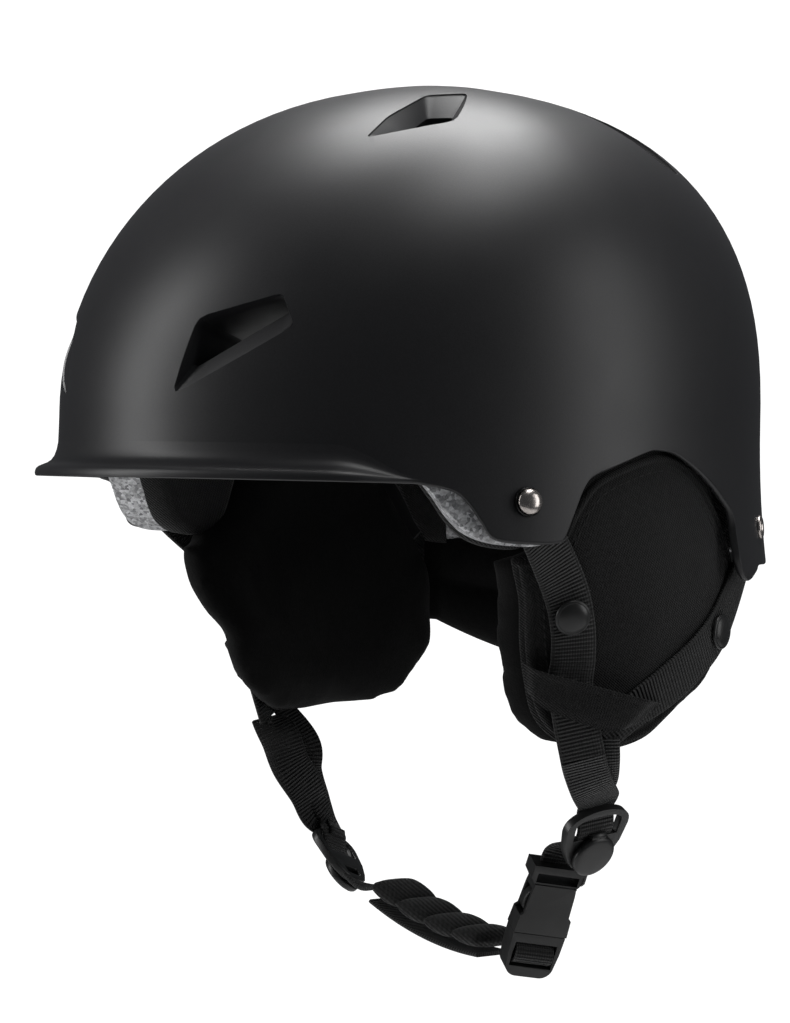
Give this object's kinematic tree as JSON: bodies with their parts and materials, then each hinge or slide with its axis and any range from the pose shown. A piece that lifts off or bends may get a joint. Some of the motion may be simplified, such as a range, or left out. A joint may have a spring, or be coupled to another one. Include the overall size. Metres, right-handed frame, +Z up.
{
  "type": "sports helmet",
  "caption": "Hard-shell sports helmet with a short brim, foam liner, comfort pads, soft ear pads, a rear fit dial, Y-shaped straps with dividers, a side-release buckle and a quilted chin pad.",
  "frame": {"origin": "middle of the head opening, level with the brim", "axes": "+Z up through the crown, -Y towards the front, +X to the wearer's left"},
  "size_m": [0.2208, 0.2725, 0.3072],
  "materials": {
    "shell": "satin charcoal black with a very fine grain",
    "foam": null,
    "nickel": "polished nickel plate",
    "collar": "black plated",
    "knit": "black diagonal knit",
    "fleece": "smooth black fleece",
    "webbing": "ribbed black webbing",
    "hardware": "satin black"
  },
  "bodies": {
    "helmet": {"outer_shell": "shell", "eps_liner": "foam", "front_rivet_collar_left": "collar", "front_rivet_collar_right": "collar", "front_rivet_left": "nickel", "front_rivet_right": "nickel", "front_washer_left": "nickel", "front_washer_right": "nickel", "rear_eyelet_left": "nickel", "rear_eyelet_right": "nickel", "rear_washer_left": "nickel", "rear_washer_right": "nickel", "brow_pad": "knit", "rear_pad": "knit", "crown_pad": "knit", "side_pad_left": "knit", "side_pad_right": "knit", "crown_side_pad_left": "knit", "crown_side_pad_right": "knit", "ear_panel_left": "knit", "ear_panel_right": "knit", "ear_pocket_left": "knit", "ear_pocket_right": "knit", "nape_pad": "fleece", "ear_cushion_left": "fleece", "ear_cushion_right": "fleece", "strap_front_left": "webbing", "strap_front_right": "webbing", "strap_rear_left": "webbing", "strap_rear_right": "webbing", "dial_housing": "hardware", "dial_backplate": "hardware", "dial_hanger": "hardware", "fit_band_left": "hardware", "fit_band_right": "hardware", "snap_front_left": "hardware", "snap_front_right": "hardware", "snap_rear_left": "hardware", "snap_rear_right": "hardware"},
    "dial": {"dial_knob": "hardware", "dial_pinion": "hardware"},
    "rack_left": {"fit_rack_left": "hardware"},
    "rack_right": {"fit_rack_right": "hardware"},
    "chin_loop": {"divider_left": "hardware", "divider_right": "hardware", "strap_drop_front_left": "webbing", "strap_drop_front_right": "webbing", "strap_drop_rear_left": "webbing", "strap_drop_rear_right": "webbing", "buckle_female": "hardware", "strap_female": "webbing"},
    "lever_left": {"divider_lever_left": "hardware"},
    "lever_right": {"divider_lever_right": "hardware"},
    "chin_half": {"buckle_male": "hardware", "chin_pad": "knit", "strap_tail": "webbing", "strap_chin": "webbing"},
    "arm_front": {"buckle_arm_front": "hardware"},
    "arm_rear": {"buckle_arm_rear": "hardware"}
  },
  "joints": [
    {"name": "dial_turn", "type": "hinge", "parent": "helmet", "child": "dial", "pos_m": [0, 0.112, -0.045], "axis": [0, 1, 0], "range_deg": [-90, 90]},
    {"name": "rack_left_slide", "type": "slide", "parent": "helmet", "child": "rack_left", "axis": [1, 0, 0], "range_m": [-0.0065, 0.0065], "deforming": ["fit_band_left"]},
    {"name": "rack_right_slide", "type": "slide", "parent": "helmet", "child": "rack_right", "axis": [-1, 0, 0], "range_m": [-0.0065, 0.0065], "deforming": ["fit_band_right"]},
    {"name": "chin_swing", "type": "hinge", "parent": "helmet", "child": "chin_loop", "pos_m": [0, 0.026, -0.088], "axis": [1, 0, 0], "range_deg": [-20, 25], "deforming": ["strap_drop_front_left", "strap_drop_front_right", "strap_drop_rear_left", "strap_drop_rear_right"]},
    {"name": "buckle_release", "type": "slide", "parent": "chin_loop", "child": "chin_half", "axis": [-0.3998, 0, -0.9166], "range_m": [0, 0.02], "deforming": ["strap_chin"]},
    {"name": "buckle_arm_front_squeeze", "type": "hinge", "parent": "chin_half", "child": "arm_front", "pos_m": [0.03933, 0.02099, -0.15454], "axis": [0.8512, -0.3711, -0.3713], "range_deg": [-7, 0], "stiffness_Nm_per_rad": 0.001},
    {"name": "buckle_arm_rear_squeeze", "type": "hinge", "parent": "chin_half", "child": "arm_rear", "pos_m": [0.043, 0.03101, -0.15614], "axis": [0.8512, -0.3711, -0.3713], "range_deg": [0, 7], "stiffness_Nm_per_rad": 0.001},
    {"name": "divider_lever_left_open", "type": "hinge", "parent": "chin_loop", "child": "lever_left", "pos_m": [0.07184, 0.0256, -0.11897], "axis": [-0.0946, -0.9852, -0.1431], "range_deg": [0, 75]},
    {"name": "divider_lever_right_open", "type": "hinge", "parent": "chin_loop", "child": "lever_right", "pos_m": [-0.07271, 0.02489, -0.14227], "axis": [-0.286, 0.9047, -0.3159], "range_deg": [0, 75]}
  ],
  "couplings": [
    {"joint": "rack_left_slide", "follows": "dial_turn", "m_per_rad": 0.004},
    {"joint": "rack_right_slide", "follows": "dial_turn", "m_per_rad": 0.004},
    {"joint": "buckle_arm_rear_squeeze", "follows": "buckle_arm_front_squeeze", "ratio": -1}
  ]
}
